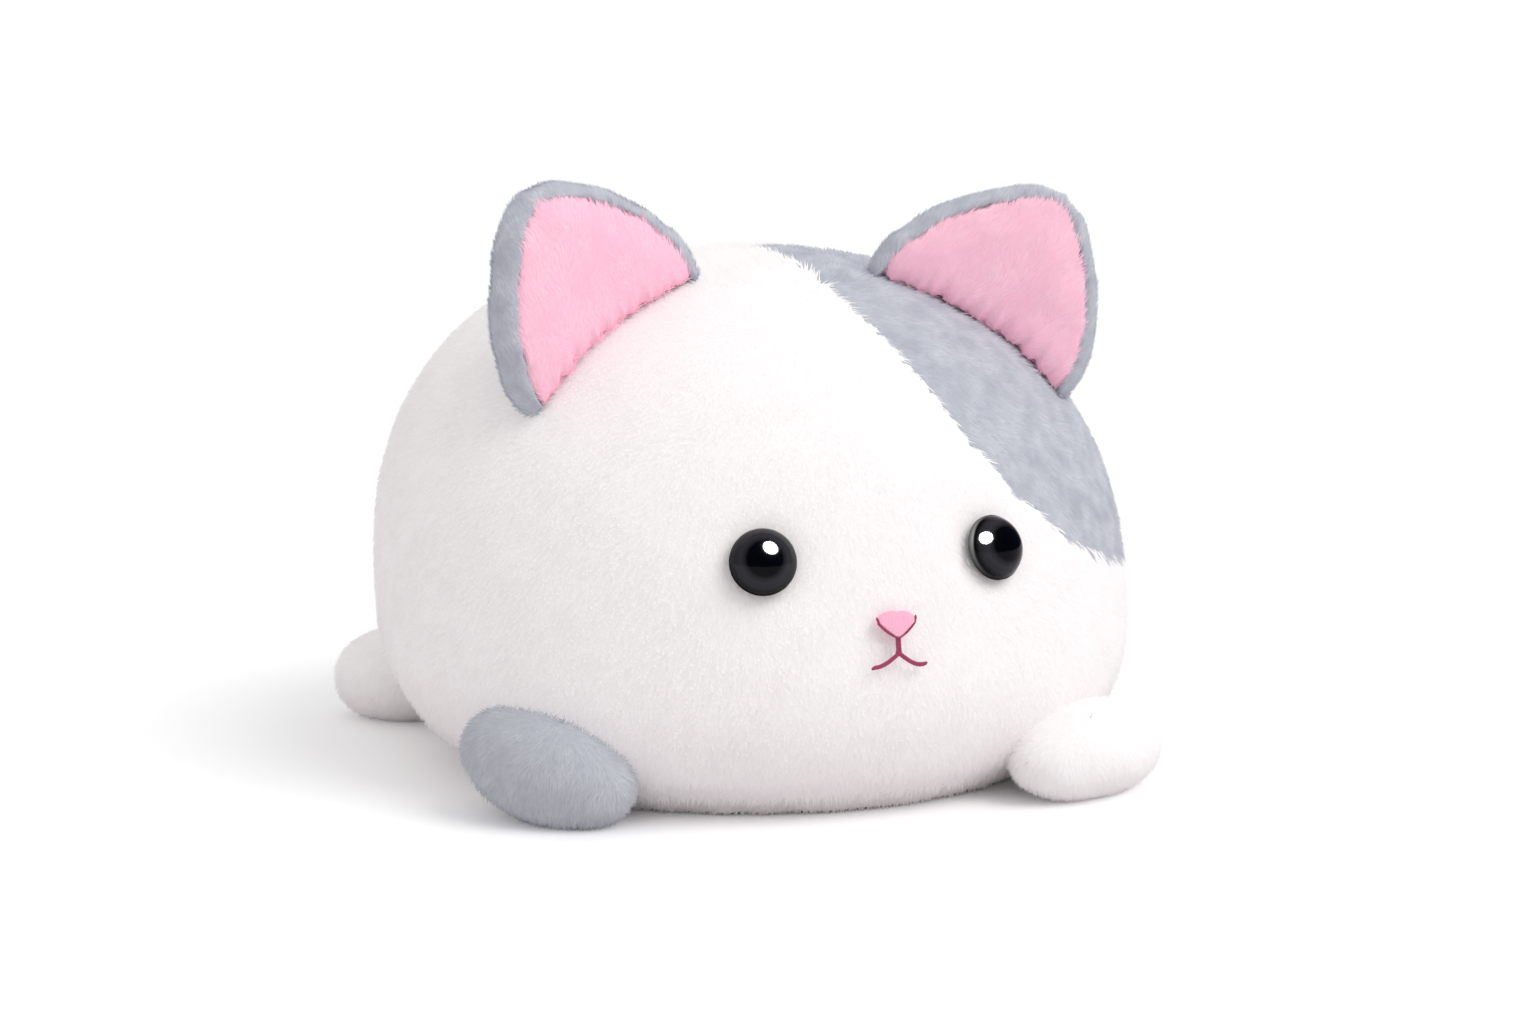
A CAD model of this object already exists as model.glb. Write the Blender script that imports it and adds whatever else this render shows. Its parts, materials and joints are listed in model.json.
import json
import math

import bmesh
import bpy
import numpy as np
from mathutils import Matrix, Vector, noise
from mathutils.bvhtree import BVHTree


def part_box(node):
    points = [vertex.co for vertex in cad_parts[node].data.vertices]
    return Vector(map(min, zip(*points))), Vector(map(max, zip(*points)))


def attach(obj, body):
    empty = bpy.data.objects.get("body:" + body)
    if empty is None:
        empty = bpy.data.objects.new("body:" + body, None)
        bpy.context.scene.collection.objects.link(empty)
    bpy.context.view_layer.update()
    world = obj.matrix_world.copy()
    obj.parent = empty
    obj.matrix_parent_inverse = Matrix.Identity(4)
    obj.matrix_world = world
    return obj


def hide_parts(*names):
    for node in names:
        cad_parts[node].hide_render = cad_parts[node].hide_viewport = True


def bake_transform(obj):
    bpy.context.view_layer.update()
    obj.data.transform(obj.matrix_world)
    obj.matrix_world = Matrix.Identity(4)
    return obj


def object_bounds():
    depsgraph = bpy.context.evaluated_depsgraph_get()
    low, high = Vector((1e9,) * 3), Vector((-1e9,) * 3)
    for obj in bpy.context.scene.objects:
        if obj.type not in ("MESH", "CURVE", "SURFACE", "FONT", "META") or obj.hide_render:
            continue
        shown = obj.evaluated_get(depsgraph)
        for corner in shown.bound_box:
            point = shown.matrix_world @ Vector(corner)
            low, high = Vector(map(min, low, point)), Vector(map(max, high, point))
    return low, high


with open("model.json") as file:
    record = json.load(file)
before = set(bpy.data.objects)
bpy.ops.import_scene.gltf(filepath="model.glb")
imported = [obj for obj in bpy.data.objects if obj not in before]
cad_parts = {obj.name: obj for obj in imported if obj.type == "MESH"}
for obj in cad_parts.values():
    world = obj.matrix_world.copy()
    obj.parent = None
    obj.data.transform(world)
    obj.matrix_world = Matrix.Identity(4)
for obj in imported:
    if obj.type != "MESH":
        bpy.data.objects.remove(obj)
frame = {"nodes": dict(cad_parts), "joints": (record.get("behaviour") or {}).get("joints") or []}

cadLow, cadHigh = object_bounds()
scene = bpy.context.scene
mm = 0.001
up = Vector((0, 0, 1))
jointOf = {joint["name"]: joint for joint in frame["joints"]}
noise.seed_set(7)                  # vector noise starts from the clock unless it gets a seed


# small helpers
def hexToLinear(code):
    parts = [int(code[i:i + 2], 16) / 255 for i in (0, 2, 4)]
    linear = [p / 12.92 if p <= 0.04045 else ((p + 0.055) / 1.055) ** 2.4 for p in parts]
    return (*linear, 1.0)


def addNode(tree, kind, settings=None, links=None):
    # links gives each input, by name or number, a socket to read or a plain value
    node = tree.nodes.new(kind)
    for key, value in (settings or {}).items():
        setattr(node, key, value)
    for key, source in (links or {}).items():
        if isinstance(source, bpy.types.NodeSocket):
            tree.links.new(source, node.inputs[key])
        else:
            node.inputs[key].default_value = source
    return node


def newObject(name, bm):
    mesh = bpy.data.meshes.new(name)
    bm.to_mesh(mesh)
    bm.free()
    made = bpy.data.objects.new(name, mesh)
    scene.collection.objects.link(made)
    mesh.shade_smooth()
    return made


def cadMesh(*nodes):
    # one welded copy of some CAD nodes, free to be changed
    bm = bmesh.new()
    for node in nodes:
        bm.from_mesh(frame["nodes"][node].data)
    bmesh.ops.remove_doubles(bm, verts=bm.verts, dist=0.01 * mm)
    return bm


def hullOf(*nodes):
    # the outer skin of some CAD nodes whose joined shape has no hollows
    bm = cadMesh(*nodes)
    bmesh.ops.delete(bm, geom=bm.edges[:], context="EDGES_FACES")
    bmesh.ops.convex_hull(bm, input=bm.verts)
    bmesh.ops.delete(bm, geom=[v for v in bm.verts if not v.link_faces], context="VERTS")
    bmesh.ops.recalc_face_normals(bm, faces=bm.faces)
    return bm


def applyModifiers(thing):
    graph = bpy.context.evaluated_depsgraph_get()
    shown = thing.evaluated_get(graph)
    made = bpy.data.meshes.new_from_object(shown, preserve_all_data_layers=True, depsgraph=graph)
    thing.modifiers.clear()
    thing.data = made


def voxelSkin(thing, size, smooth=2):
    remesh = thing.modifiers.new("voxels", "REMESH")
    remesh.mode = "VOXEL"
    remesh.voxel_size = size
    remesh.use_smooth_shade = True
    relax = thing.modifiers.new("relax", "SMOOTH")
    relax.factor = 0.5
    relax.iterations = smooth
    applyModifiers(thing)


def subdivide(thing, levels=1):
    finer = thing.modifiers.new("finer", "SUBSURF")
    finer.levels = levels
    finer.render_levels = levels
    applyModifiers(thing)


def surfaceTree(thing):
    return BVHTree.FromPolygons([v.co for v in thing.data.vertices], [p.vertices for p in thing.data.polygons])


def reshape(thing, moved):
    # moved gives a point's new place from its place and its normal
    points = [(v.co.copy(), v.normal.copy()) for v in thing.data.vertices]
    thing.data.vertices.foreach_set("co", [c for place, normal in points for c in moved(place, normal)])
    thing.data.update()


def smoothStep(value, low, high):
    share = min(max((value - low) / (high - low), 0.0), 1.0)
    return share * share * (3 - 2 * share)


def middleOf(node):
    low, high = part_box(node)
    return (low + high) / 2


# camera, at the place from which the toy is looked at
cameraView = {"lens": 64.3, "place": (-0.3425, -0.88096, 0.21763), "turn": -21.562, "down": 8.136}
camera = bpy.data.objects.new("camera", bpy.data.cameras.new("camera"))
scene.collection.objects.link(camera)
camera.data.sensor_width = 36
camera.data.lens = cameraView["lens"]
camera.location = cameraView["place"]
camera.rotation_euler = (math.radians(90 - cameraView["down"]), 0, math.radians(cameraView["turn"]))
scene.camera = camera
print("camera ready")


# stuffing: the cloth simulation blows every padded skin up a little against its pinned seams
stuffing = {"frames": 20, "quality": 5, "stiffness": 18, "bending": 0.6}
stuffed = []


def stuff(thing, pressure, mass, reach, pinned):
    # pinned says for a vertex how firmly the thread holds it, from 0 to 1
    group = thing.vertex_groups.new(name="sewn")
    for vertex in thing.data.vertices:
        hold = pinned(vertex)
        if hold > 0:
            group.add([vertex.index], hold, "REPLACE")
    stuffed.append({"thing": thing, "pressure": pressure, "mass": mass, "reach": reach})


def runStuffing():
    frames = stuffing["frames"]
    for item in stuffed:
        cloth = item["thing"].modifiers.new("stuffing", "CLOTH")
        cloth.settings.use_pressure = True
        cloth.settings.uniform_pressure_force = item["pressure"]
        cloth.settings.effector_weights.gravity = 0
        cloth.settings.quality = stuffing["quality"]
        cloth.settings.mass = item["mass"]
        cloth.settings.vertex_group_mass = "sewn"
        cloth.settings.tension_stiffness = stuffing["stiffness"]
        cloth.settings.compression_stiffness = stuffing["stiffness"]
        cloth.settings.bending_stiffness = stuffing["bending"]
        cloth.collision_settings.use_collision = False
        cloth.point_cache.frame_start = 1
        cloth.point_cache.frame_end = frames
    for number in range(1, frames + 1):
        scene.frame_set(number)
    for item in stuffed:
        thing = item["thing"]
        rest = [v.co.copy() for v in thing.data.vertices]
        applyModifiers(thing)
        longest = 0
        for vertex, start in zip(thing.data.vertices, rest):
            move = vertex.co - start
            longest = max(longest, move.length)
            if move.length > item["reach"]:
                vertex.co = start + move * (item["reach"] / move.length)
        print("  stuffed", thing.name, "furthest", round(longest / mm, 2), "mm")
    scene.frame_set(1)


# body skin: one hull of the five fabric panels, remeshed, stuffed, and cut into panels later
bodyPanels = ["face_panel", "head_patch", "left_back_panel", "right_back_panel", "base_panel"]
bodyCloth = {
    "voxel": 4.6 * mm,
    "inset": 2.4 * mm,             # the stuffing then pushes the cloth out again
    "reach": 1.9 * mm,             # furthest that the stuffing may move a point
    "pressure": 6.0,
    "mass": 0.03,                  # of one point of the cloth, in kg
    "seamPull": 1.2 * mm,          # how much deeper the thread holds a seam
    "seamWidth": 5.0 * mm,
    "eyePull": 1.4 * mm,           # how much deeper the lock washers hold the cloth
    "eyeBed": 9 * mm,
    "eyeDimple": 19 * mm,
    "flat": 2 * mm,                # below this height the base lies flat and still
    "flatInset": 0.6 * mm,
    "clear": 0.4 * mm,             # room that is left over the floor
    "lumps": 0.5 * mm,             # unevenness of the fibre filling under the cloth
    "lumpSize": 34 * mm,
}
bodySkin = newObject("body_skin", hullOf(*bodyPanels))
voxelSkin(bodySkin, bodyCloth["voxel"])
fabricLine = surfaceTree(bodySkin)       # the outer fabric surface of the CAD body
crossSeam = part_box("left_back_panel")[0].y
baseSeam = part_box("left_back_panel")[0].z


def onFabric(x, z, lift=0.0):
    # the point of the face's fabric straight behind (x, z) in front view
    place, normal, index, distance = fabricLine.ray_cast(Vector((x, cadLow.y - 0.1, z)), Vector((0, 1, 0)))
    return place + normal * lift, normal


# safety eyes: where each one sits and looks, read from its own dome
eyes = {}
for side in ("left", "right"):
    points = np.array([v.co for v in frame["nodes"][side + "_eye"].data.vertices])
    spread = points - points.mean(0)
    axes = np.linalg.eigh(spread.T @ spread)[1]
    # the shank and dome together are longer than the dome is wide, so the look is the longest way through it
    look = max((Vector(axes[:, k]) for k in range(3)), key=lambda a: float(np.ptp(points @ np.array(a))))
    look = look if look.y < 0 else -look
    tip = Vector(points[int(np.argmax(points @ np.array(look)))])
    eyes[side] = {"tip": tip, "look": look.normalized()}

eyeShape = {"radius": 10.3 * mm, "rise": 6.9 * mm, "bed": 2.0 * mm, "shank": 3.0 * mm, "length": 15.0 * mm,
            "arcSteps": 22, "turns": 96, "lip": 0.15 * mm, "sunk": 1.3 * mm}
for side in eyes:
    eyes[side]["seat"] = eyes[side]["tip"] - eyes[side]["look"] * (eyeShape["rise"] + eyeShape["sunk"])

noseLow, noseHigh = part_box("nose_embroidery")
mouthLow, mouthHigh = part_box("mouth_embroidery")
noseMiddle = (noseLow + noseHigh) / 2


def seamDistance(point):
    # how far a point of the body is from the nearest sewn seam
    found = [abs(point.z - baseSeam)]
    if point.z > baseSeam:
        found.append(abs(point.y - crossSeam))
        if point.y > crossSeam:
            found.append(abs(point.x))
    return min(found)


def eyeDistance(point):
    return min((point - eyes[side]["seat"]).length for side in eyes)


def drawnIn(place, normal):
    depth = bodyCloth["inset"]
    depth += bodyCloth["seamPull"] * (1 - smoothStep(seamDistance(place), 0, bodyCloth["seamWidth"]))
    dimple = 1 - smoothStep(eyeDistance(place), bodyCloth["eyeBed"], bodyCloth["eyeDimple"])
    depth += bodyCloth["eyePull"] * dimple
    if place.z < 0.5 * mm:
        depth = bodyCloth["flatInset"]
    near = fabricLine.find_nearest(place)
    return near[0] - near[1] * depth


reshape(bodySkin, drawnIn)


def bodyHold(vertex):
    if vertex.co.z < bodyCloth["flat"]:
        return 1.0
    seam = 1 - smoothStep(seamDistance(vertex.co), 1.5 * mm, 4.5 * mm)
    eye = 1 - smoothStep(eyeDistance(vertex.co), 11 * mm, 13 * mm)
    return max(seam, eye)


stuff(bodySkin, bodyCloth["pressure"], bodyCloth["mass"], bodyCloth["reach"], bodyHold)
print("body skin:", len(bodySkin.data.polygons), "faces")

# ears: the CAD tray of back and rim, and the panel that lies in it
earCloth = {
    "voxel": 1.7 * mm,
    "gap": 4.8 * mm,               # points about as near to the body as this begin the sewn root
    "root": 9.0 * mm,              # how far the root goes on into the head
    "bulge": 1.8 * mm,             # how much the inner panel swells in its middle
    "lift": 1.3 * mm,              # and at its edge, which lies over the rim
    "tipPull": 3.2 * mm,           # the pointed tip is drawn in and comes out round
    "tipReach": 13 * mm,
    "held": (2 * mm, 7 * mm),      # the thread holds the cloth this far from the body, and lets go here
    "bulgeWidth": 15 * mm,
    "waves": 0.75 * mm,            # unevenness of the rim
    "waveSize": 12 * mm,
    "pressure": 2.0,
    "mass": 0.3,
    "reach": 0.9 * mm,
}
ears = {}
for side in ("left", "right"):
    joint = jointOf[side + "_ear_fold"]
    hinge = Vector(joint["pos_m"])
    frontPoint = middleOf(side + "_ear_inner")
    plate = np.array([v.co for v in frame["nodes"][side + "_ear_inner"].data.vertices])
    flat = Vector(np.linalg.eigh(np.cov((plate - plate.mean(0)).T))[1][:, 0])
    facing = flat if flat.y < 0 else -flat
    axis = Vector(joint["axis"]).normalized()
    tall = facing.cross(axis)
    tall = tall if tall.z > 0 else -tall
    back = newObject(side + "_ear_back_skin", cadMesh(side + "_ear_back"))
    voxelSkin(back, earCloth["voxel"], 3)
    rimTree = surfaceTree(back)
    tipPoint = max((v.co.copy() for v in back.data.vertices), key=lambda place: place @ tall)
    middlePoint = (tipPoint + hinge) / 2
    inner = newObject(side + "_ear_inner_skin", cadMesh(side + "_ear_inner"))
    voxelSkin(inner, earCloth["voxel"], 2)

    def swollen(place, normal):
        rim = min(rimTree.find_nearest(place)[3], earCloth["bulgeWidth"])
        front = smoothStep((place - frontPoint) @ facing, -1.5 * mm, 1.5 * mm)
        lift = earCloth["lift"] + earCloth["bulge"] * smoothStep(rim, 0, earCloth["bulgeWidth"])
        return place + facing * front * lift

    def rooted(place, normal):
        away = fabricLine.find_nearest(place)[3]
        sewn = 1 - smoothStep(away, earCloth["gap"] - 3 * mm, earCloth["gap"] + 2 * mm)
        place = place - tall * earCloth["root"] * sewn
        nearTip = 1 - smoothStep((place - tipPoint).length, 0, earCloth["tipReach"])
        place = place + (middlePoint - place).normalized() * earCloth["tipPull"] * nearTip
        wave = noise.noise(place / earCloth["waveSize"] + Vector((3, 1, 7)))
        return place + normal * earCloth["waves"] * wave * (1 - sewn)

    reshape(inner, swollen)
    for skin in (back, inner):
        reshape(skin, rooted)
        stuff(skin, earCloth["pressure"], earCloth["mass"], earCloth["reach"],
              lambda v: 1 - smoothStep(fabricLine.find_nearest(v.co)[3], *earCloth["held"]))
    ears[side] = {"back": back, "inner": inner, "hinge": hinge, "tall": tall}
print("ear skins ready")

# paws and tail: round covers that run on into the body
limbCloth = {
    "voxel": 2.7 * mm,
    "gap": 5.6 * mm,
    "root": 9.0 * mm,
    "lumps": 0.8 * mm,
    "lumpSize": 17 * mm,
    "pressure": 5.0,
    "mass": 0.05,
    "reach": 1.1 * mm,
    "inset": 1.4 * mm,
    "pressed": 1.2 * mm,           # how far the floor flattens a paw
    "held": (2 * mm, 7 * mm),
}
limbNames = ["front_left_paw", "front_right_paw", "rear_left_paw", "rear_right_paw", "tail"]
limbs = {}

# each paw is an oval pressed flat on the floor: x and y of its middle, half width, half length, half height in
# millimetres, then its turn and tilt in degrees
pawOval = {
    "front_left_paw": (76.5, -103.5, 20.5, 34.0, 16.5, -64, 0),
    "front_right_paw": (-98.5, -76.0, 18.5, 31.5, 19.0, 42, 14),
    "rear_left_paw": (103.0, 91.0, 23.0, 27.0, 18.0, -40, 0),
    "rear_right_paw": (-103.0, 91.0, 23.0, 27.0, 18.0, 40, 0),
}


def pawSkin(name):
    x, y, wide, long, tall, turn, tilt = pawOval[name]
    bm = bmesh.new()
    bmesh.ops.create_uvsphere(bm, u_segments=64, v_segments=40, radius=1.0)
    inset = limbCloth["inset"] / mm
    bmesh.ops.scale(bm, vec=((wide - inset) * mm, (long - inset) * mm, (tall - inset) * mm), verts=bm.verts)
    spin = Matrix.Rotation(math.radians(turn), 3, "Z") @ Matrix.Rotation(math.radians(tilt), 3, "X")
    bmesh.ops.rotate(bm, cent=(0, 0, 0), matrix=spin, verts=bm.verts)
    down = min(v.co.z for v in bm.verts)
    bmesh.ops.translate(bm, vec=(x * mm, y * mm, -down - limbCloth["pressed"]), verts=bm.verts)
    for vert in bm.verts:
        vert.co.z = max(vert.co.z, bodyCloth["clear"])
    return bm


def tailRooted(place, normal):
    # the root of the tail goes on into the rump, and the rest draws in by the depth of the pile
    near = fabricLine.find_nearest(place)
    if near[3] < limbCloth["gap"]:
        return place - near[1] * limbCloth["root"]
    return place - normal * limbCloth["inset"] if place.z > 1.0 * mm else place


def limbHold(vertex):
    root = 1 - smoothStep(fabricLine.find_nearest(vertex.co)[3], *limbCloth["held"])
    return max(root, float(vertex.co.z < 1.5 * mm))


for name in limbNames:
    skin = newObject(name + "_skin", hullOf("tail_cover") if name == "tail" else pawSkin(name))
    voxelSkin(skin, limbCloth["voxel"], 3)
    if name == "tail":
        reshape(skin, tailRooted)
    stuff(skin, limbCloth["pressure"], limbCloth["mass"], limbCloth["reach"], limbHold)
    limbs[name] = {"skin": skin}
print("limb skins ready")

runStuffing()
for item in stuffed:
    item["thing"].vertex_groups.clear()
    subdivide(item["thing"])


def bodyLumps(place, normal):
    lump = noise.noise(place / bodyCloth["lumpSize"]) + 0.5 * noise.noise(place / (0.4 * bodyCloth["lumpSize"]))
    moved = place + normal * bodyCloth["lumps"] * lump if place.z > bodyCloth["flat"] else place
    return Vector((moved.x, moved.y, max(moved.z, bodyCloth["clear"])))


def limbLumps(place, normal):
    lump = noise.noise(place / limbCloth["lumpSize"])
    moved = place + normal * limbCloth["lumps"] * lump if place.z > bodyCloth["flat"] else place
    return Vector((moved.x, moved.y, max(moved.z, bodyCloth["clear"])))


reshape(bodySkin, bodyLumps)
for name in limbNames:
    reshape(limbs[name]["skin"], limbLumps)
print("skins stuffed and smoothed")

# the body skin is cut into its five sewn panels
patchTree = surfaceTree(frame["nodes"]["head_patch"])
faceTree = surfaceTree(frame["nodes"]["face_panel"])
patchEdge = {"ragged": 2.3 * mm, "raggedSize": 7 * mm, "fine": 1.2 * mm, "fineSize": 2.6 * mm}


def onPatch(point):
    moved = point + noise.noise_vector(point / patchEdge["raggedSize"]) * patchEdge["ragged"]
    moved += noise.noise_vector(point / patchEdge["fineSize"]) * patchEdge["fine"]
    return patchTree.find_nearest(moved)[3] < faceTree.find_nearest(moved)[3]


def panelAt(point):
    if point.z < baseSeam:
        return "base_panel"
    if point.y > crossSeam:
        return "left_back_panel" if point.x > 0 else "right_back_panel"
    return "head_patch" if onPatch(point) else "face_panel"


whole = bmesh.new()
whole.from_mesh(bodySkin.data)
for place, normal in (((0, crossSeam, 0), (0, 1, 0)), ((0, 0, 0), (1, 0, 0)), ((0, 0, baseSeam), (0, 0, 1))):
    bmesh.ops.bisect_plane(whole, geom=whole.verts[:] + whole.edges[:] + whole.faces[:], dist=0.01 * mm,
                           plane_co=place, plane_no=normal)
whole.faces.ensure_lookup_table()
panelOfFace = [panelAt(face.calc_center_median()) for face in whole.faces]
panels = {}
for panel in bodyPanels:
    part = whole.copy()
    part.faces.ensure_lookup_table()
    others = [part.faces[i] for i, p in enumerate(panelOfFace) if p != panel]
    bmesh.ops.delete(part, geom=others, context="FACES")
    panels[panel] = newObject(panel + "_skin", part)
whole.free()
bpy.data.objects.remove(bodySkin)
print("body panels:", {name: len(p.data.polygons) for name, p in panels.items()})


# pile: short tufts scattered over a skin by geometry nodes, one tuft being a three-sided spike
def tuftShape():
    bm = bmesh.new()
    bmesh.ops.create_cone(bm, cap_ends=True, cap_tris=False, segments=3, radius1=1.0, radius2=0.0, depth=1.0)
    bmesh.ops.translate(bm, verts=bm.verts, vec=(0, 0, 0.5))
    bmesh.ops.remove_doubles(bm, verts=bm.verts, dist=0.001)
    tuft = newObject("tuft", bm)
    along = tuft.data.attributes.new("tip", "FLOAT", "POINT")
    along.data.foreach_set("value", [v.co.z for v in tuft.data.vertices])
    return tuft


tuft = tuftShape()
pileSeed = {"next": 11, "step": 7}       # each pile draws its tufts from a seed of its own


def growPile(name, ground, spec, amountAt, layAt):
    # amountAt gives a share of the full number of tufts at a point, layAt the way that they lie there
    source = bpy.data.objects.new(name, ground.data.copy())
    scene.collection.objects.link(source)
    mesh = source.data
    amounts = [amountAt(v.co) for v in mesh.vertices]
    mesh.attributes.new("amount", "FLOAT", "POINT").data.foreach_set("value", amounts)
    lays = [c for v in mesh.vertices for c in layAt(v.co, v.normal)]
    mesh.attributes.new("lay", "FLOAT_VECTOR", "POINT").data.foreach_set("vector", lays)
    area = sum(p.area * sum(amounts[i] for i in p.vertices) / len(p.vertices) for p in mesh.polygons)
    perArea = spec["tufts"] / area
    seed = pileSeed["next"]
    pileSeed["next"] += pileSeed["step"]

    tree = bpy.data.node_groups.new(name, "GeometryNodeTree")
    tree.interface.new_socket("Geometry", in_out="INPUT", socket_type="NodeSocketGeometry")
    tree.interface.new_socket("Geometry", in_out="OUTPUT", socket_type="NodeSocketGeometry")
    start = addNode(tree, "NodeGroupInput")
    amount = addNode(tree, "GeometryNodeInputNamedAttribute", {"data_type": "FLOAT"}, {"Name": "amount"})
    density = addNode(tree, "ShaderNodeMath", {"operation": "MULTIPLY"}, {0: amount.outputs[0], 1: perArea})
    points = addNode(tree, "GeometryNodeDistributePointsOnFaces", {"distribute_method": "RANDOM"},
                     {"Mesh": start.outputs[0], "Density": density.outputs[0], "Seed": seed})
    lay = addNode(tree, "GeometryNodeInputNamedAttribute", {"data_type": "FLOAT_VECTOR"}, {"Name": "lay"})
    stand = addNode(tree, "ShaderNodeVectorMath", {"operation": "SCALE"},
                    {0: points.outputs["Normal"], "Scale": spec["stand"]})
    leaning = addNode(tree, "ShaderNodeVectorMath", {"operation": "ADD"},
                      {0: stand.outputs[0], 1: lay.outputs[0]})
    loose = addNode(tree, "FunctionNodeRandomValue", {"data_type": "FLOAT_VECTOR"},
                    {0: (-spec["loose"],) * 3, 1: (spec["loose"],) * 3, "Seed": seed + 1})
    aim = addNode(tree, "ShaderNodeVectorMath", {"operation": "ADD"},
                  {0: leaning.outputs[0], 1: loose.outputs[0]})
    facing = addNode(tree, "FunctionNodeAlignRotationToVector", {"axis": "Z"}, {"Vector": aim.outputs[0]})
    roll = addNode(tree, "FunctionNodeRandomValue", {"data_type": "FLOAT_VECTOR"},
                   {0: (-spec["roll"],) * 3, 1: (spec["roll"],) * 3, "Seed": seed + 2})
    outward = addNode(tree, "ShaderNodeVectorMath", {"operation": "ADD"},
                      {0: points.outputs["Normal"], 1: roll.outputs[0]})
    rolled = addNode(tree, "FunctionNodeAlignRotationToVector", {"axis": "Y", "pivot_axis": "Z"},
                     {"Rotation": facing.outputs[0], "Vector": outward.outputs[0]})
    size = addNode(tree, "FunctionNodeRandomValue", {"data_type": "FLOAT"},
                   {2: spec["shortest"], 3: 1.0, "Seed": seed + 3})
    scaled = addNode(tree, "ShaderNodeVectorMath", {"operation": "SCALE"},
                     {0: (spec["width"] / 2, spec["width"] * spec["thick"] / 2, spec["length"]),
                      "Scale": size.outputs[1]})
    # the tuft is shaded with the skin's own normal, turned a little the way it leans
    shade = addNode(tree, "ShaderNodeVectorMath", {"operation": "SCALE"},
                    {0: aim.outputs[0], "Scale": spec["relief"]})
    shadeSum = addNode(tree, "ShaderNodeVectorMath", {"operation": "ADD"},
                       {0: shade.outputs[0], 1: points.outputs["Normal"]})
    tone = addNode(tree, "FunctionNodeRandomValue", {"data_type": "FLOAT"}, {2: 0.0, 3: 1.0, "Seed": seed + 4})
    first = addNode(tree, "GeometryNodeStoreNamedAttribute", {"data_type": "FLOAT_VECTOR", "domain": "POINT"},
                    {"Geometry": points.outputs["Points"], "Name": "shadeNormal", "Value": shadeSum.outputs[0]})
    second = addNode(tree, "GeometryNodeStoreNamedAttribute", {"data_type": "FLOAT", "domain": "POINT"},
                     {"Geometry": first.outputs[0], "Name": "napTone", "Value": tone.outputs[1]})
    spike = addNode(tree, "GeometryNodeObjectInfo", None, {"Object": tuft})
    planted = addNode(tree, "GeometryNodeInstanceOnPoints", None,
                      {"Points": second.outputs[0], "Instance": spike.outputs["Geometry"],
                       "Rotation": rolled.outputs[0], "Scale": scaled.outputs[0]})
    real = addNode(tree, "GeometryNodeRealizeInstances", None, {"Geometry": planted.outputs[0]})
    addNode(tree, "NodeGroupOutput", None, {0: real.outputs[0]})
    grow = source.modifiers.new("pile", "NODES")
    grow.node_group = tree
    applyModifiers(source)
    mesh = source.data
    normals = np.zeros(len(mesh.vertices) * 3, np.float32)
    mesh.attributes["shadeNormal"].data.foreach_get("vector", normals)
    normals = normals.reshape(-1, 3)
    normals /= np.maximum(np.linalg.norm(normals, axis=1, keepdims=True), 1e-9)
    corners = np.zeros(len(mesh.loops), np.int32)
    mesh.loops.foreach_get("vertex_index", corners)
    faces = np.zeros(len(mesh.polygons) * 3, np.float32)
    mesh.polygons.foreach_get("normal", faces)
    faces = np.repeat(faces.reshape(-1, 3), 3, axis=0)
    normals = normals[corners]
    # a face that looks inward takes the normal mirrored to its own side
    away = np.minimum((normals * faces).sum(axis=1, keepdims=True), 0)
    normals = normals - 2 * away * faces
    mesh.shade_smooth()
    mesh.normals_split_custom_set(normals.tolist())
    for spare in ("shadeNormal", "lay", "amount"):
        if spare in mesh.attributes:
            mesh.attributes.remove(mesh.attributes[spare])
    source.visible_shadow = False      # the fine fibres scatter light instead of shading each other
    source.visible_diffuse = False
    print("  pile", name, len(mesh.polygons), "faces")
    return source


# bare spots that the pile leaves for the eyes, the nose and the mouth
bare = {"eyeFrom": 9.6 * mm, "eyeTo": 10.8 * mm, "noseWide": 6.2 * mm, "noseTall": 4.2 * mm, "noseFrom": 0.75,
        "noseTo": 1.1, "mouthWide": 9.5 * mm, "mouthBelow": 0.3 * mm, "stem": 1.3 * mm, "fork": 5.3 * mm,
        "armLong": 8.2 * mm, "armDrop": 4.0 * mm, "armTurn": 100, "arm": 1.2 * mm}


def clearOf(point):
    keep = min(smoothStep((point - eyes[side]["seat"]).length, bare["eyeFrom"], bare["eyeTo"]) for side in eyes)
    if point.y < 0:
        across = abs(point.x - noseMiddle.x)
        rise = point.z - noseMiddle.z
        inNose = (across / bare["noseWide"]) ** 2 + (rise / bare["noseTall"]) ** 2
        keep = min(keep, smoothStep(inNose, bare["noseFrom"], bare["noseTo"]))
        inMouth = mouthLow.z - bare["mouthBelow"] < point.z < noseMiddle.z
        if inMouth and across < bare["mouthWide"]:
            turn = min(across / bare["armLong"], 1.0) * math.radians(bare["armTurn"])
            bend = mouthHigh.z - bare["fork"] - bare["armDrop"] * math.sin(turn)
            if across < bare["stem"] or abs(point.z - bend) < bare["arm"]:
                keep = 0.0
    return keep


bodyLay = {"down": 1.0, "swirl": 0.75, "swirlSize": 15 * mm, "fine": 0.3, "fineSize": 4 * mm, "flat": 0.95}


def inSkin(way, normal, length):
    # the part of a direction that lies in the skin, brought to a length
    flat = way - normal * (way @ normal)
    return flat.normalized() * length if flat.length > 1e-6 else flat


def layOnBody(point, normal):
    way = inSkin(Vector((0, 0.42, -1)), normal, bodyLay["down"])
    way += noise.noise_vector(point / bodyLay["swirlSize"]) * bodyLay["swirl"]
    way += noise.noise_vector(point / bodyLay["fineSize"]) * bodyLay["fine"]
    return inSkin(way, normal, bodyLay["flat"])


def everywhere(point):
    return 1.0


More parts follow.
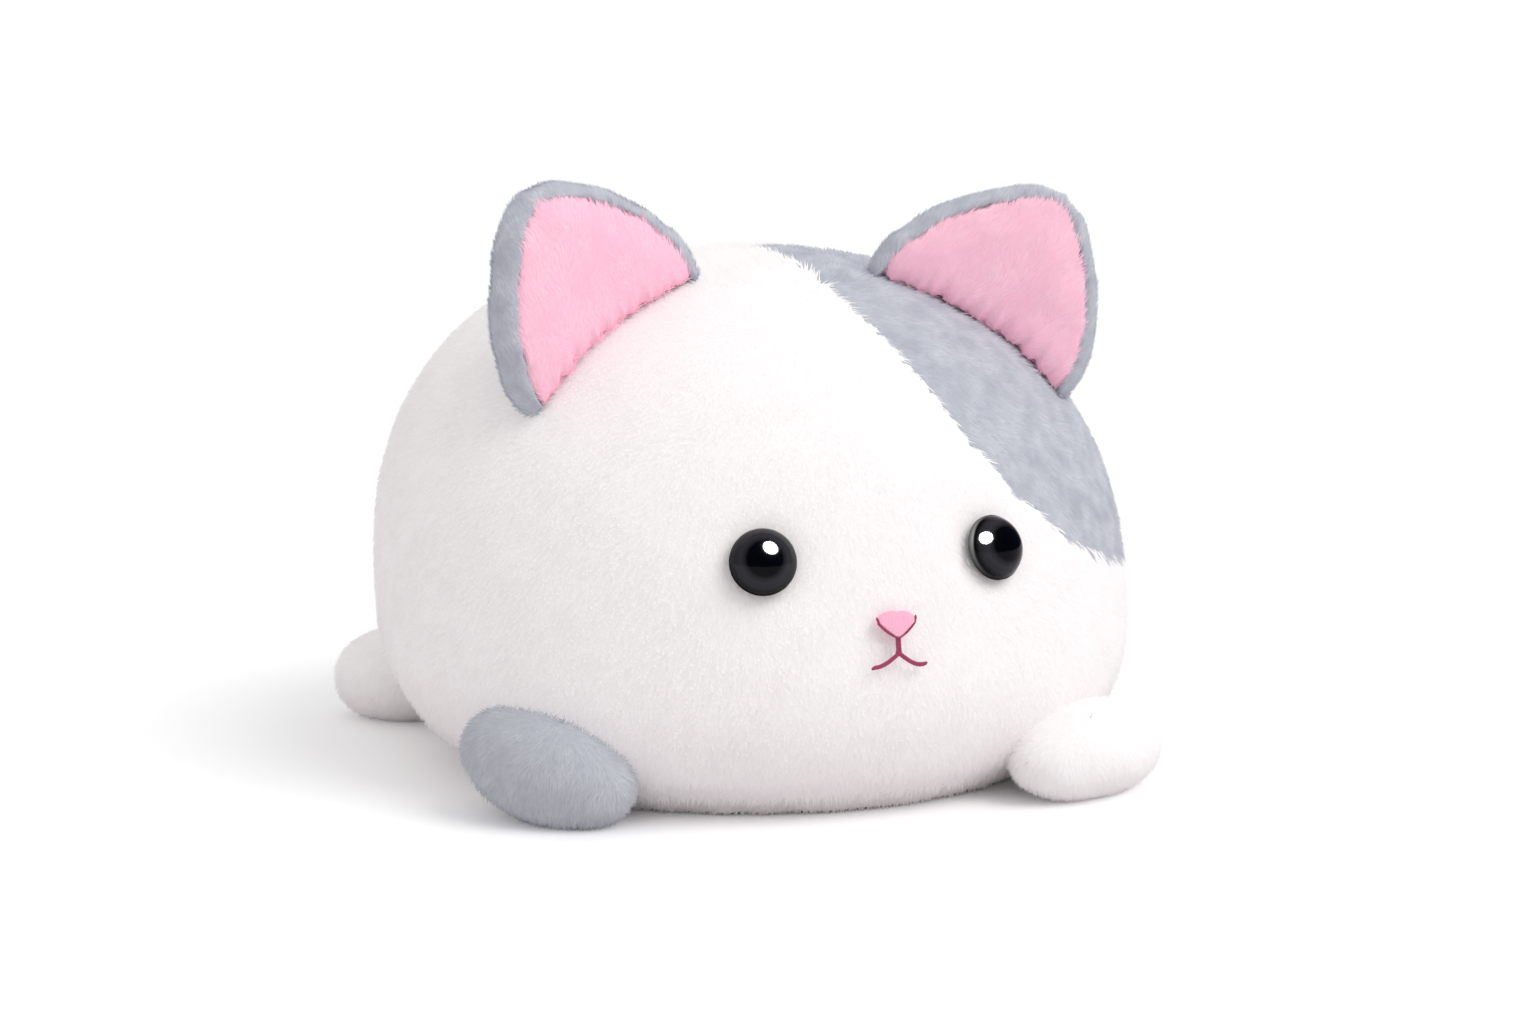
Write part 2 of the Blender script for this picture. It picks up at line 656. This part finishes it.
pileOf = {
    "face_panel": {"tufts": 48000, "length": 4.6 * mm, "width": 0.95 * mm},
    "head_patch": {"tufts": 42000, "length": 4.6 * mm, "width": 0.95 * mm},
    "left_back_panel": {"tufts": 42000, "length": 4.6 * mm, "width": 1.05 * mm},
    "right_back_panel": {"tufts": 46000, "length": 4.6 * mm, "width": 1.0 * mm},
    "base_panel": {"tufts": 26000, "length": 3.0 * mm, "width": 1.1 * mm},
    "ear_back": {"tufts": 19000, "length": 3.3 * mm, "width": 0.85 * mm},
    "ear_inner": {"tufts": 15000, "length": 4.6 * mm, "width": 0.8 * mm},
    "paw": {"tufts": 15000, "length": 4.2 * mm, "width": 0.9 * mm},
    "tail": {"tufts": 9000, "length": 4.4 * mm, "width": 0.95 * mm},
}
for spec in pileOf.values():
    spec.update({"stand": 0.4, "loose": 0.2, "roll": 0.1, "thick": 0.2, "shortest": 0.65, "relief": 0.07})
piles = {}
for panel in bodyPanels:
    amount = clearOf if panel == "face_panel" else everywhere
    piles[panel] = growPile(panel + "_pile", panels[panel], pileOf[panel], amount, layOnBody)
for side in ears:
    tall = ears[side]["tall"]

    def layOnEar(point, normal):
        way = inSkin(tall, normal, 0.8) + noise.noise_vector(point / (9 * mm)) * 0.7
        return inSkin(way, normal, 0.95)

    ears[side]["backPile"] = growPile(side + "_ear_back_pile", ears[side]["back"], pileOf["ear_back"],
                                      everywhere, layOnEar)
    ears[side]["innerPile"] = growPile(side + "_ear_inner_pile", ears[side]["inner"], pileOf["ear_inner"],
                                       everywhere, layOnEar)
for name in limbNames:
    kind = "tail" if name == "tail" else "paw"
    limbs[name]["pile"] = growPile(name + "_pile", limbs[name]["skin"], pileOf[kind], everywhere, layOnBody)
bpy.data.objects.remove(tuft)
print("pile grown")

# each body panel gets the thickness of its knit backing
backing = {"thickness": 1.2 * mm}
for panel in panels.values():
    wall = panel.modifiers.new("backing", "SOLIDIFY")
    wall.thickness = backing["thickness"]
    wall.offset = -1
    applyModifiers(panel)


# safety eyes: a turned dome with its rim, bed and shank
def eyeButton(side):
    radius, rise = eyeShape["radius"], eyeShape["rise"]
    ball = (radius ** 2 + rise ** 2) / (2 * rise)
    half = math.asin(radius / ball)
    bm = bmesh.new()
    profile = []
    for step in range(eyeShape["arcSteps"] + 1):
        turn = half * step / eyeShape["arcSteps"]
        profile.append((ball * math.sin(turn), rise - ball * (1 - math.cos(turn))))
    lip, bed = eyeShape["lip"], eyeShape["bed"]
    profile += [(radius + lip, -0.25 * mm), (radius + lip, -bed + 0.6 * mm), (radius - 0.6 * mm, -bed)]
    profile += [(eyeShape["shank"], -bed), (eyeShape["shank"], -eyeShape["length"]), (0, -eyeShape["length"])]
    line = [bm.verts.new((across, 0, height)) for across, height in profile]
    edges = [bm.edges.new(pair) for pair in zip(line, line[1:])]
    bmesh.ops.spin(bm, geom=line + edges, cent=(0, 0, 0), axis=(0, 0, 1), angle=math.tau,
                   steps=eyeShape["turns"], use_merge=True)
    bmesh.ops.remove_doubles(bm, verts=bm.verts, dist=0.005 * mm)
    bmesh.ops.recalc_face_normals(bm, faces=bm.faces)
    sharp = [e for e in bm.edges if len(e.link_faces) == 2 and e.calc_face_angle() > math.radians(32)]
    bmesh.ops.bevel(bm, geom=sharp, offset=0.12 * mm, offset_type="OFFSET", affect="EDGES", segments=2,
                    profile=0.5, material=-1)
    turn = up.rotation_difference(eyes[side]["look"]).to_matrix().to_4x4()
    bmesh.ops.transform(bm, matrix=Matrix.Translation(eyes[side]["seat"]) @ turn, verts=bm.verts)
    return newObject(side + "_eye_button", bm)


for side in eyes:
    eyes[side]["button"] = eyeButton(side)
print("eyes turned")

# embroidery
noseStitch = {"voxel": 0.24 * mm, "crown": 1.0 * mm, "lift": 0.35 * mm, "pitch": 0.62 * mm, "ridge": 0.09 * mm,
              "bow": 0.75 * mm, "top": 0.3 * mm}
halfWide = (noseHigh.x - noseLow.x) / 2
halfTall = (noseHigh.z - noseLow.z) / 2
nosePad = newObject("nose_satin_stitch", cadMesh("nose_embroidery"))
voxelSkin(nosePad, noseStitch["voxel"], 4)
noseLook = onFabric(noseMiddle.x, noseMiddle.z)[1]


def satin(place, normal):
    across = (place.x - noseMiddle.x) / halfWide
    tall = (place.z - noseMiddle.z) / halfTall
    front = smoothStep(normal @ noseLook, -0.2, 0.6)
    crown = noseStitch["crown"] * max(0.0, 1 - across ** 2 - 0.7 * tall ** 2) ** 0.5
    ridge = noseStitch["ridge"] * math.cos(math.tau * (place.x - noseMiddle.x) / noseStitch["pitch"])
    bowed = noseStitch["bow"] * max(0.0, 1 - (tall + 0.1) ** 2)
    bow = Vector((math.copysign(min(abs(across) * 2, 1), across) * bowed, 0, 0))
    top = Vector((0, 0, noseStitch["top"] * (1 - across ** 2) * smoothStep(tall, 0, 1)))
    return place + bow + top + noseLook * (noseStitch["lift"] + (crown + ridge) * front)


reshape(nosePad, satin)

mouthStitch = {"length": 2.6 * mm, "width": 1.25 * mm, "step": 0.95 * mm, "tilt": 17, "lift": 1.15 * mm}
outlineStitch = {"length": 1.9 * mm, "width": 0.75 * mm, "step": 0.8 * mm, "tilt": 9, "lift": 1.55 * mm}


def stitchesAlong(bm, line, spec):
    # stem stitch: short slanting stitches, each half over the last one
    lengths = [0.0]
    for a, b in zip(line, line[1:]):
        lengths.append(lengths[-1] + math.dist(a, b))
    count = max(2, round(lengths[-1] / spec["step"]))
    for number in range(count + 1):
        far = lengths[-1] * number / count
        index = max(i for i in range(len(line) - 1) if lengths[i] <= far + 1e-9)
        share = (far - lengths[index]) / (lengths[index + 1] - lengths[index])
        x = line[index][0] + (line[index + 1][0] - line[index][0]) * share
        z = line[index][1] + (line[index + 1][1] - line[index][1]) * share
        place, normal = onFabric(x, z, spec["lift"])
        ahead = Vector((line[index + 1][0] - line[index][0], 0, line[index + 1][1] - line[index][1]))
        ahead = (ahead - normal * (ahead @ normal)).normalized()
        ahead = Matrix.Rotation(math.radians(spec["tilt"]), 3, normal) @ ahead
        side = normal.cross(ahead)
        made = bmesh.ops.create_uvsphere(bm, u_segments=10, v_segments=8, radius=0.5)["verts"]
        basis = Matrix((side * spec["width"], normal * spec["width"], ahead * spec["length"])).transposed()
        bmesh.ops.transform(bm, matrix=Matrix.Translation(place) @ basis.to_4x4(), verts=made)


def noseOutlinePoints():
    x, z = noseMiddle.x, noseMiddle.z
    right = [(1.05, 0.36), (0.98, 0.0), (0.8, -0.3), (0.5, -0.68), (0.22, -0.95), (0.0, -1.08)]
    left = [(-a, b) for a, b in reversed(right[:-1])]
    return [(x + a * halfWide, z + b * halfTall) for a, b in right + left]


mouthShape = {"fork": 5.2 * mm, "apart": 0.42 * mm, "stemWidth": 0.72 * mm, "armSteps": 8, "armLong": 8.2 * mm,
              "armDrop": 3.9 * mm, "leftTurn": 100, "rightTurn": 86}
fork = mouthHigh.z - mouthShape["fork"]
bm = bmesh.new()
for shift in (-mouthShape["apart"], mouthShape["apart"]):
    stem = [(shift, noseLow.z + 0.3 * mm), (shift, fork + 0.6 * mm)]
    stitchesAlong(bm, stem, dict(mouthStitch, width=mouthShape["stemWidth"]))
for side in (-1, 1):
    arm = []
    turn = math.radians(mouthShape["leftTurn"] if side > 0 else mouthShape["rightTurn"])
    for step in range(mouthShape["armSteps"] + 1):
        share = step / mouthShape["armSteps"]
        drop = mouthShape["armDrop"] * math.sin(share * turn)
        arm.append((side * mouthShape["armLong"] * share, fork + 0.4 * mm - drop))
    stitchesAlong(bm, arm, mouthStitch)
mouthThread = newObject("mouth_stem_stitch", bm)
bm = bmesh.new()
stitchesAlong(bm, noseOutlinePoints(), outlineStitch)
noseEdge = newObject("nose_outline_stitch", bm)
print("embroidery stitched")


# materials
def paint(thing, material):
    thing.data.materials.clear()
    thing.data.materials.append(material)


def newMaterial(name):
    made = bpy.data.materials.new(name)
    made.use_nodes = True
    made.node_tree.nodes.clear()
    return made, made.node_tree


def pileMaterial(name, spec):
    # polyester minky pile: each tuft is pale at its tip and deeper at its root, with soft patches where
    # the nap turns
    made, tree = newMaterial(name)
    place = addNode(tree, "ShaderNodeTexCoord")
    tip = addNode(tree, "ShaderNodeAttribute", {"attribute_name": "tip"})
    tone = addNode(tree, "ShaderNodeAttribute", {"attribute_name": "napTone"})
    patches = addNode(tree, "ShaderNodeTexNoise", None,
                      {"Vector": place.outputs["Object"], "Scale": 1 / (spec["patchSize"] * mm), "Detail": 3.0})
    strands = addNode(tree, "ShaderNodeTexNoise", None,
                      {"Vector": place.outputs["Object"], "Scale": 1 / (3.2 * mm), "Detail": 2.0})
    base = addNode(tree, "ShaderNodeMix", {"data_type": "RGBA"},
                   {0: tip.outputs["Fac"], 6: hexToLinear(spec["root"]), 7: hexToLinear(spec["tip"])})
    spread = addNode(tree, "ShaderNodeMapRange", None,
                     {0: patches.outputs["Fac"], 1: 0.35, 2: 0.68, 3: 0.0, 4: spec["patchiness"]})
    patched = addNode(tree, "ShaderNodeMix", {"data_type": "RGBA"},
                      {0: spread.outputs[0], 6: base.outputs[2], 7: hexToLinear(spec["shade"])})
    single = addNode(tree, "ShaderNodeMapRange", None,
                     {0: tone.outputs["Fac"], 1: 0.0, 2: 1.0, 3: 1 - spec["uneven"],
                      4: 1.0 + spec["uneven"] * 0.5})
    fine = addNode(tree, "ShaderNodeMapRange", None,
                   {0: strands.outputs["Fac"], 1: 0.3, 2: 0.7, 3: 1 - 0.4 * spec["uneven"], 4: 1.0})
    both = addNode(tree, "ShaderNodeMath", {"operation": "MULTIPLY"},
                   {0: single.outputs[0], 1: fine.outputs[0]})
    colour = addNode(tree, "ShaderNodeVectorMath", {"operation": "SCALE"},
                     {0: patched.outputs[2], "Scale": both.outputs[0]})
    shader = addNode(tree, "ShaderNodeBsdfPrincipled", None,
                     {"Base Color": colour.outputs[0], "Roughness": 1.0, "Specular IOR Level": 0.0})
    addNode(tree, "ShaderNodeOutputMaterial", None, {"Surface": shader.outputs[0]})
    return made


def backingMaterial(name, spec):
    # knitted polyester backing: fine loops, hardly seen between the tufts
    made, tree = newMaterial(name)
    place = addNode(tree, "ShaderNodeTexCoord")
    patches = addNode(tree, "ShaderNodeTexNoise", None,
                      {"Vector": place.outputs["Object"], "Scale": 1 / (9 * mm), "Detail": 4.0})
    loops = addNode(tree, "ShaderNodeTexVoronoi", None,
                    {"Vector": place.outputs["Object"], "Scale": 1 / (1.1 * mm)})   # real loops are 0.6 mm
    colour = addNode(tree, "ShaderNodeMix", {"data_type": "RGBA"},
                     {0: patches.outputs["Fac"], 6: hexToLinear(spec["root"]), 7: hexToLinear(spec["shade"])})
    bump = addNode(tree, "ShaderNodeBump", None,
                   {"Strength": 0.5, "Distance": 0.3 * mm, "Height": loops.outputs["Distance"]})
    shader = addNode(tree, "ShaderNodeBsdfPrincipled", None,
                     {"Base Color": colour.outputs[2], "Roughness": 1.0, "Specular IOR Level": 0.0,
                      "Normal": bump.outputs[0]})
    addNode(tree, "ShaderNodeOutputMaterial", None, {"Surface": shader.outputs[0]})
    return made


whitePile = {"tip": "fdfbfb", "root": "f7f3f3", "shade": "f3eeee", "patchSize": 16, "patchiness": 0.5,
             "uneven": 0.03}
greyPile = {"tip": "d2d4dc", "root": "b5b8c1", "shade": "b0b3be", "patchSize": 8, "patchiness": 1.0,
            "uneven": 0.08}
pawPile = dict(greyPile, tip="cbced4", root="acafb6", shade="b4b7be")
pinkPile = {"tip": "ffdbe7", "root": "ffb9d1", "shade": "ffc2d7", "patchSize": 14, "patchiness": 0.8,
            "uneven": 0.05}
basePile = dict(whitePile, tip="f6f3f2", root="e6e1e1", shade="ece8e7")
minky = {
    "white_plush": pileMaterial("minky_pile_white", whitePile),
    "grey_plush": pileMaterial("minky_pile_grey", greyPile),
    "pink_plush": pileMaterial("minky_pile_pink", pinkPile),
    "base_plush": pileMaterial("minky_pile_underside", basePile),
}
pawGrey = pileMaterial("minky_pile_paw_grey", pawPile)
knit = {
    "white_plush": backingMaterial("knit_backing_white", whitePile),
    "grey_plush": backingMaterial("knit_backing_grey", greyPile),
    "pink_plush": backingMaterial("knit_backing_pink", pinkPile),
    "base_plush": backingMaterial("knit_backing_underside", basePile),
}


def eyeMaterial(side):
    # moulded acrylic safety eye: glossy clear skin over a charcoal ring and a near-black pupil
    made, tree = newMaterial("moulded_acrylic_eye_" + side)
    place = addNode(tree, "ShaderNodeTexCoord")
    look = eyes[side]["look"]
    turn = look.rotation_difference(up).to_matrix()
    centre = turn @ eyes[side]["seat"]
    angles = turn.to_euler()
    local = addNode(tree, "ShaderNodeMapping", {"vector_type": "POINT"},
                    {"Vector": place.outputs["Object"], "Location": tuple(-centre), "Rotation": tuple(angles)})
    split = addNode(tree, "ShaderNodeSeparateXYZ", None, {0: local.outputs[0]})
    flat = addNode(tree, "ShaderNodeCombineXYZ", None, {0: split.outputs[0], 1: split.outputs[1]})
    distance = addNode(tree, "ShaderNodeVectorMath", {"operation": "LENGTH"}, {0: flat.outputs[0]})
    share = addNode(tree, "ShaderNodeMath", {"operation": "DIVIDE"},
                    {0: distance.outputs["Value"], 1: eyeShape["radius"]})
    ring = addNode(tree, "ShaderNodeValToRGB", None, {0: share.outputs[0]})
    stops = [(0.0, "020308"), (0.52, "040509"), (0.6, "222226"), (0.72, "303035"), (0.86, "29292e"),
             (0.94, "060607")]
    ramp = ring.color_ramp
    while len(ramp.elements) < len(stops):
        ramp.elements.new(0.5)
    for element, (position, code) in zip(ramp.elements, stops):
        element.position = position
        element.color = hexToLinear(code)
    wear = addNode(tree, "ShaderNodeTexNoise", None,
                   {"Vector": place.outputs["Object"], "Scale": 1 / (1.6 * mm), "Detail": 3.0})
    polish = addNode(tree, "ShaderNodeMapRange", None, {0: wear.outputs["Fac"], 3: 0.05, 4: 0.11})
    edge = addNode(tree, "ShaderNodeMapRange", None, {0: share.outputs[0], 1: 0.95, 2: 1.0, 3: 0.0, 4: 0.7})
    rough = addNode(tree, "ShaderNodeMath", {"operation": "ADD"}, {0: polish.outputs[0], 1: edge.outputs[0]})
    shader = addNode(tree, "ShaderNodeBsdfPrincipled", None,
                     {"Base Color": ring.outputs[0], "Roughness": rough.outputs[0], "IOR": 1.49,
                      "Specular IOR Level": 0.12})
    addNode(tree, "ShaderNodeOutputMaterial", None, {"Surface": shader.outputs[0]})
    return made


def threadMaterial(name, spec):
    # polyester embroidery thread: fine slanting plies with a soft shine
    made, tree = newMaterial(name)
    place = addNode(tree, "ShaderNodeTexCoord")
    turned = addNode(tree, "ShaderNodeMapping", None,
                     {"Vector": place.outputs["Object"], "Rotation": (0, spec["slant"], 0)})
    plies = addNode(tree, "ShaderNodeTexWave", {"wave_type": "BANDS", "bands_direction": "X"},
                    {"Vector": turned.outputs[0], "Scale": 0.314 / (spec["pitch"] * mm), "Distortion": 1.2,
                     "Detail": 2.0, "Detail Scale": 1.5})
    fuzz = addNode(tree, "ShaderNodeTexNoise", None,
                   {"Vector": place.outputs["Object"], "Scale": 1 / (0.7 * mm), "Detail": 3.0})
    colour = addNode(tree, "ShaderNodeMix", {"data_type": "RGBA"},
                     {0: plies.outputs["Fac"], 6: hexToLinear(spec["deep"]), 7: hexToLinear(spec["pale"])})
    mixed = addNode(tree, "ShaderNodeMix", {"data_type": "RGBA"},
                    {0: fuzz.outputs["Fac"], 6: colour.outputs[2], 7: hexToLinear(spec["middle"])})
    bump = addNode(tree, "ShaderNodeBump", None,
                   {"Strength": 0.5, "Distance": 0.08 * mm, "Height": plies.outputs["Fac"]})
    shader = addNode(tree, "ShaderNodeBsdfPrincipled", None,
                     {"Base Color": mixed.outputs[2], "Roughness": 0.55, "Specular IOR Level": 0.35,
                      "Sheen Weight": 0.2, "Normal": bump.outputs[0]})
    addNode(tree, "ShaderNodeOutputMaterial", None, {"Surface": shader.outputs[0]})
    return made


def mouldedMaterial(name):
    # natural white polyethylene lock washer with a faint moulding grain
    made, tree = newMaterial(name)
    place = addNode(tree, "ShaderNodeTexCoord")
    grain = addNode(tree, "ShaderNodeTexNoise", None,
                    {"Vector": place.outputs["Object"], "Scale": 1 / (0.8 * mm), "Detail": 3.0})
    colour = addNode(tree, "ShaderNodeMix", {"data_type": "RGBA"},
                     {0: grain.outputs["Fac"], 6: hexToLinear("dcdbd6"), 7: hexToLinear("eeedea")})
    bump = addNode(tree, "ShaderNodeBump", None,
                   {"Strength": 0.3, "Distance": 0.05 * mm, "Height": grain.outputs["Fac"]})
    shader = addNode(tree, "ShaderNodeBsdfPrincipled", None,
                     {"Base Color": colour.outputs[2], "Roughness": 0.45, "IOR": 1.51,
                      "Normal": bump.outputs[0]})
    addNode(tree, "ShaderNodeOutputMaterial", None, {"Surface": shader.outputs[0]})
    return made


noseThread = threadMaterial("satin_stitch_pink_thread", {"deep": "f7a3c3", "middle": "fbb6cf", "pale": "fdcadd",
                                                         "pitch": 0.45, "slant": 0.12})
roseThread = threadMaterial("stem_stitch_rose_thread", {"deep": "7d1f3e", "middle": "9c3358", "pale": "c0577d",
                                                        "pitch": 0.3, "slant": 0.9})
washerPlastic = mouldedMaterial("moulded_polyethylene_washer")
print("materials ready")

# every piece takes its finish, its slot and its body
slotOfPanel = {"face_panel": "white_plush", "head_patch": "grey_plush", "left_back_panel": "white_plush",
               "right_back_panel": "white_plush", "base_panel": "base_plush"}
for panel, skin in panels.items():
    slotName = slotOfPanel[panel]
    paint(skin, knit[slotName])
    paint(piles[panel], minky[slotName])
    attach(skin, "body")
    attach(piles[panel], "body")
    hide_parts(panel)
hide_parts("body_filling")

for side, ear in ears.items():
    for piece, slotName, finish in ((ear["back"], "grey_plush", knit["grey_plush"]),
                                    (ear["backPile"], "grey_plush", minky["grey_plush"]),
                                    (ear["inner"], "pink_plush", knit["pink_plush"]),
                                    (ear["innerPile"], "pink_plush", minky["pink_plush"])):
        paint(piece, finish)
        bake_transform(piece)
    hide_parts(side + "_ear_back", side + "_ear_wadding")
    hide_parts(side + "_ear_inner")

for name, limb in limbs.items():
    joint = jointOf["tail_wag" if name == "tail" else name + "_lift"]
    hinge = Vector(joint["pos_m"])
    if name == "tail":
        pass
    else:
        axis = Vector(joint["axis"])
    slotName = "grey_plush" if name in ("front_right_paw", "tail") else "white_plush"
    for piece, finish in ((limb["skin"], knit[slotName]),
                          (limb["pile"], pawGrey if slotName == "grey_plush" else minky[slotName])):
        paint(piece, finish)
        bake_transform(piece)
    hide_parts(name + "_cover", name + "_filling")

for side in eyes:
    paint(eyes[side]["button"], eyeMaterial(side))
    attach(eyes[side]["button"], "body")
    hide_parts(side + "_eye")
    washer = frame["nodes"][side + "_eye_washer"]
    washer.data.materials.clear()
    washer.data.materials.append(washerPlastic)
for piece, finish, slotName, node in ((nosePad, noseThread, "nose_thread", "nose_embroidery"),
                                      (noseEdge, roseThread, "mouth_thread", None),
                                      (mouthThread, roseThread, "mouth_thread", "mouth_embroidery")):
    paint(piece, finish)
    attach(piece, "body")
    if node:
        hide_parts(node)
print("pieces placed on their bodies")

# stage and light: a white floor, an even bright room and one soft key light from above the camera
floorSize = 6.0
bm = bmesh.new()
bmesh.ops.create_grid(bm, x_segments=1, y_segments=1, size=floorSize)
floor = newObject("floor", bm)
made, tree = newMaterial("matte_white_floor")
floorRays = addNode(tree, "ShaderNodeLightPath")
floorColour = addNode(tree, "ShaderNodeMix", {"data_type": "RGBA"},
                      {0: floorRays.outputs["Is Camera Ray"], 6: hexToLinear("e6e2e4"),
                       7: hexToLinear("ffffff")})
shader = addNode(tree, "ShaderNodeBsdfPrincipled", None,
                 {"Base Color": floorColour.outputs[2], "Roughness": 0.9, "Specular IOR Level": 0.05})
addNode(tree, "ShaderNodeOutputMaterial", None, {"Surface": shader.outputs[0]})
paint(floor, made)

studio = {"room": 0.86, "roomGloss": 0.05, "key": 1.2, "keyTurn": 44, "keyRise": 48, "keySoft": 38}
world = bpy.data.worlds.new("studio")
scene.world = world
world.use_nodes = True
tree = world.node_tree
tree.nodes.clear()
rays = addNode(tree, "ShaderNodeLightPath")
lit = addNode(tree, "ShaderNodeBackground", None, {"Color": (1, 1, 1, 1), "Strength": studio["room"]})
seen = addNode(tree, "ShaderNodeBackground", None, {"Color": (1, 1, 1, 1), "Strength": 1.05})
gloss = addNode(tree, "ShaderNodeBackground", None,
                {"Color": (0.8, 0.85, 1, 1), "Strength": studio["roomGloss"]})
glossed = addNode(tree, "ShaderNodeMixShader", None,
                  {0: rays.outputs["Is Glossy Ray"], 1: lit.outputs[0], 2: gloss.outputs[0]})
final = addNode(tree, "ShaderNodeMixShader", None,
                {0: rays.outputs["Is Camera Ray"], 1: glossed.outputs[0], 2: seen.outputs[0]})
addNode(tree, "ShaderNodeOutputWorld", None, {"Surface": final.outputs[0]})


def lampFrom(name, direction, target, far, wide, power):
    data = bpy.data.lights.new(name, "AREA")
    data.shape = "DISK"
    data.size = wide
    data.energy = power
    lamp = bpy.data.objects.new(name, data)
    scene.collection.objects.link(lamp)
    lamp.location = target + direction * far
    lamp.rotation_euler = direction.to_track_quat("Z", "Y").to_euler()
    return lamp


def directionOf(turn, rise):
    turn, rise = math.radians(turn), math.radians(rise)
    return Vector((math.sin(turn) * math.cos(rise), -math.cos(turn) * math.cos(rise), math.sin(rise)))


sun = bpy.data.lights.new("key", "SUN")
sun.energy = studio["key"]
sun.angle = math.radians(studio["keySoft"])
key = bpy.data.objects.new("key", sun)
scene.collection.objects.link(key)
key.rotation_euler = directionOf(studio["keyTurn"], studio["keyRise"]).to_track_quat("Z", "Y").to_euler()
key.visible_glossy = False

# one small round lamp for the catchlight of each eye, which lights nothing else
catchlight = {"left": (-35.2, 48.0), "right": (28.0, 57.2), "far": 0.9, "wide": 0.7, "power": 420.0}
for side in eyes:
    only = bpy.data.collections.new(side + "_eye_only")
    only.objects.link(eyes[side]["button"])
    lamp = lampFrom("catchlight_" + side, directionOf(*catchlight[side]), eyes[side]["seat"], catchlight["far"],
                    catchlight["wide"], catchlight["power"])
    lamp.visible_diffuse = False
    lamp.light_linking.receiver_collection = only

scene.view_settings.view_transform = "Standard"
scene.view_settings.look = "None"
scene.view_settings.exposure = 0.0
print("studio lit")
